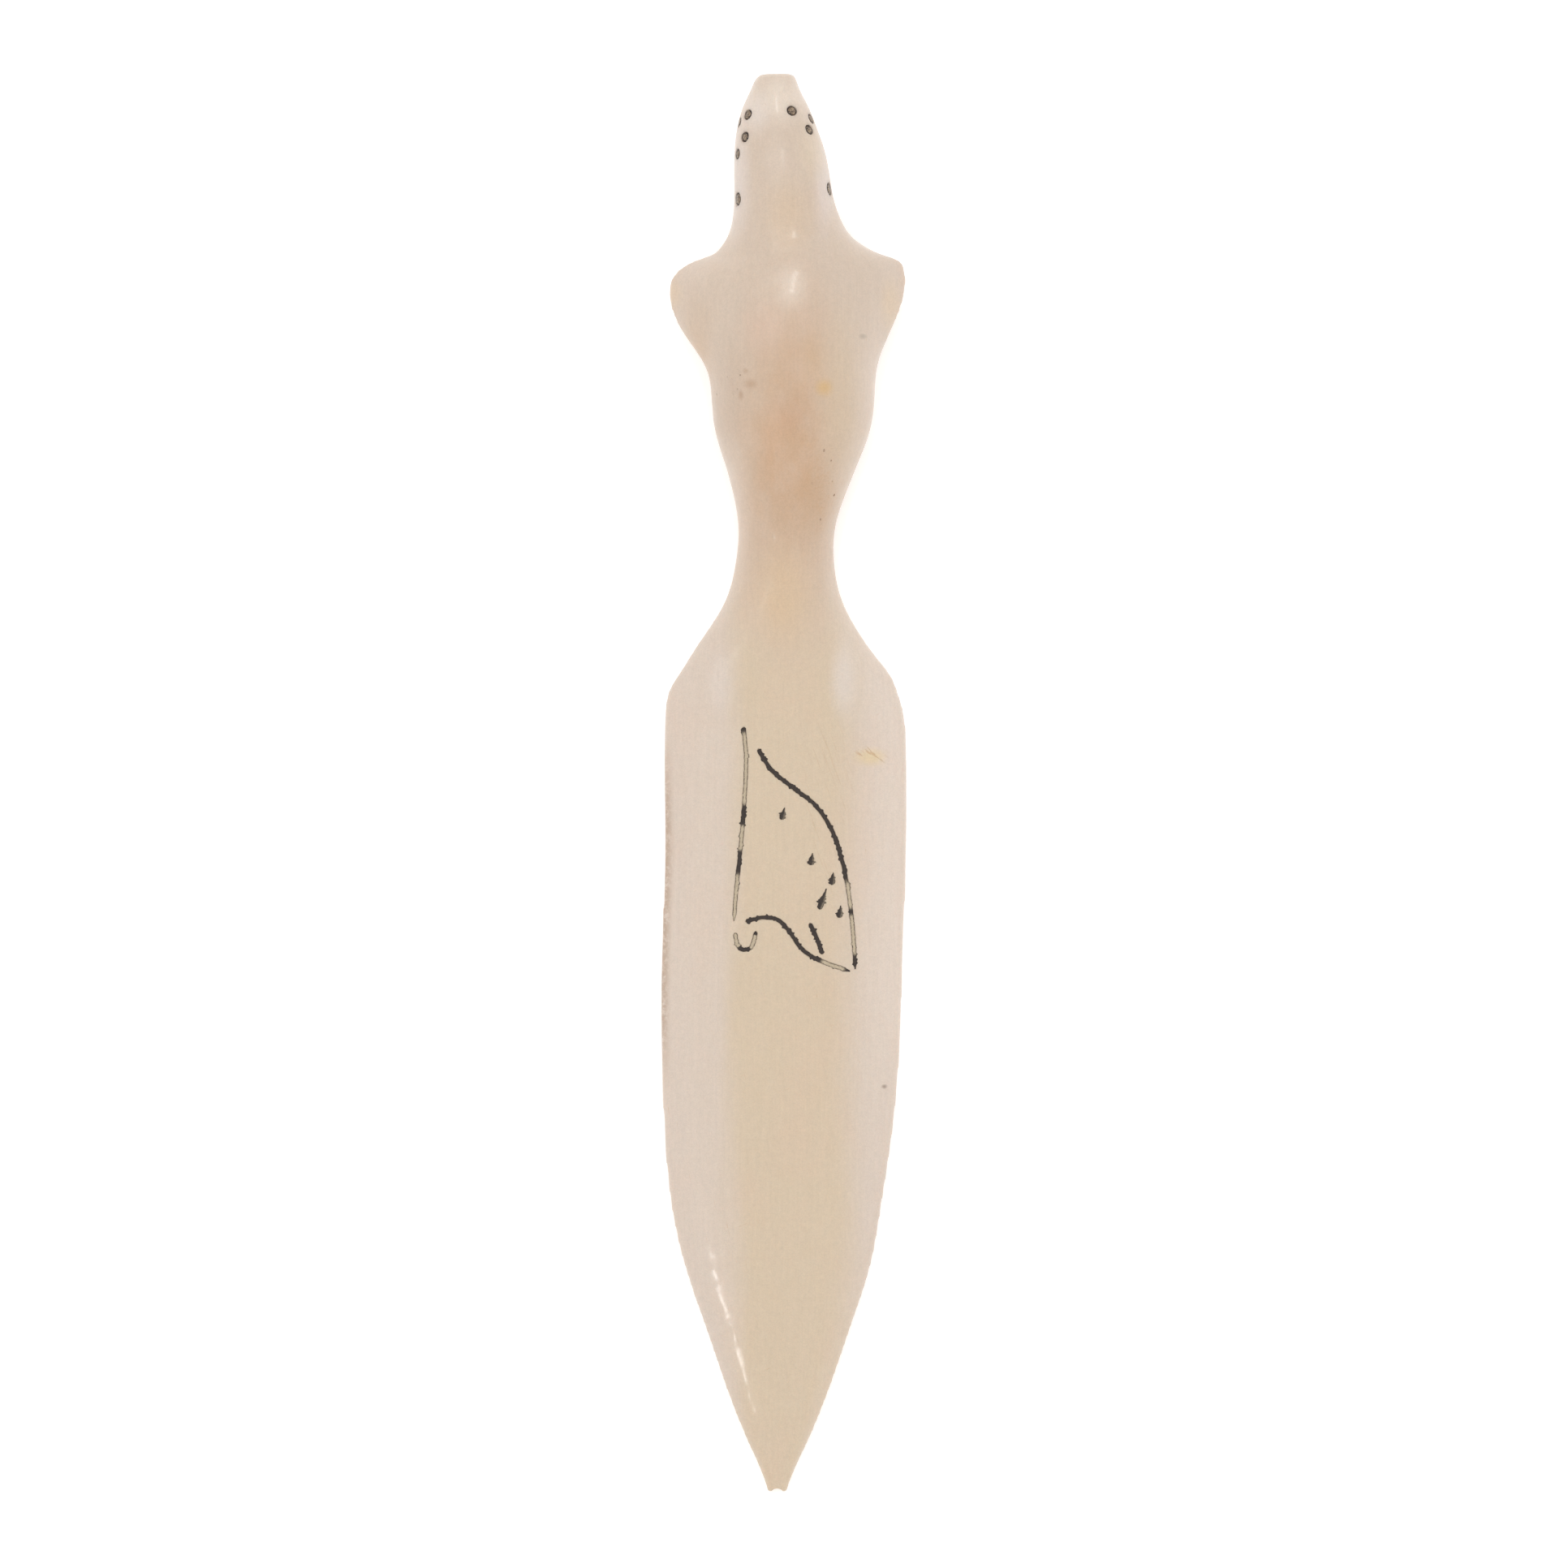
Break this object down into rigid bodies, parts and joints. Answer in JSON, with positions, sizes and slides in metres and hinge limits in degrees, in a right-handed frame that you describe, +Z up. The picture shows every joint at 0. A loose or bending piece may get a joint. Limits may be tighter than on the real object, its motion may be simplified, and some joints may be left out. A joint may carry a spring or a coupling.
{
  "type": "bone folder",
  "caption": "Carved bone folder: a broad pointed blade with an inked line engraving, and a seal-shaped handle with inlaid dots.",
  "frame": {"origin": "on the surface that the folder lies on, midway along its length and its width", "axes": "+Y from the blade's tip to the seal's nose, +Z up out of the engraved face, +X to the right seen from above"},
  "size_m": [0.0309, 0.178, 0.0132],
  "materials": {
    "bone": "hand-polished bone",
    "dot_inlay": "dark brown resin-like filler, slightly mottled",
    "ink": "dried black pigment, matt"
  },
  "bodies": {
    "root": {"bone_body": "bone", "eye_inlay_right": "dot_inlay", "eye_inlay_left": "dot_inlay", "whisker_inlay_right_front": "dot_inlay", "whisker_inlay_right_rear": "dot_inlay", "whisker_inlay_left_front": "dot_inlay", "whisker_inlay_left_middle": "dot_inlay", "whisker_inlay_left_rear": "dot_inlay", "ear_inlay_right": "dot_inlay", "ear_inlay_left": "dot_inlay", "ink_back_line": "ink", "ink_tail_hook": "ink", "ink_belly_line": "ink", "ink_lower_line": "ink", "ink_branch": "ink", "ink_tick_1": "ink", "ink_tick_2": "ink", "ink_tick_3": "ink", "ink_tick_4": "ink", "ink_tick_5": "ink"}
  },
  "joints": []
}
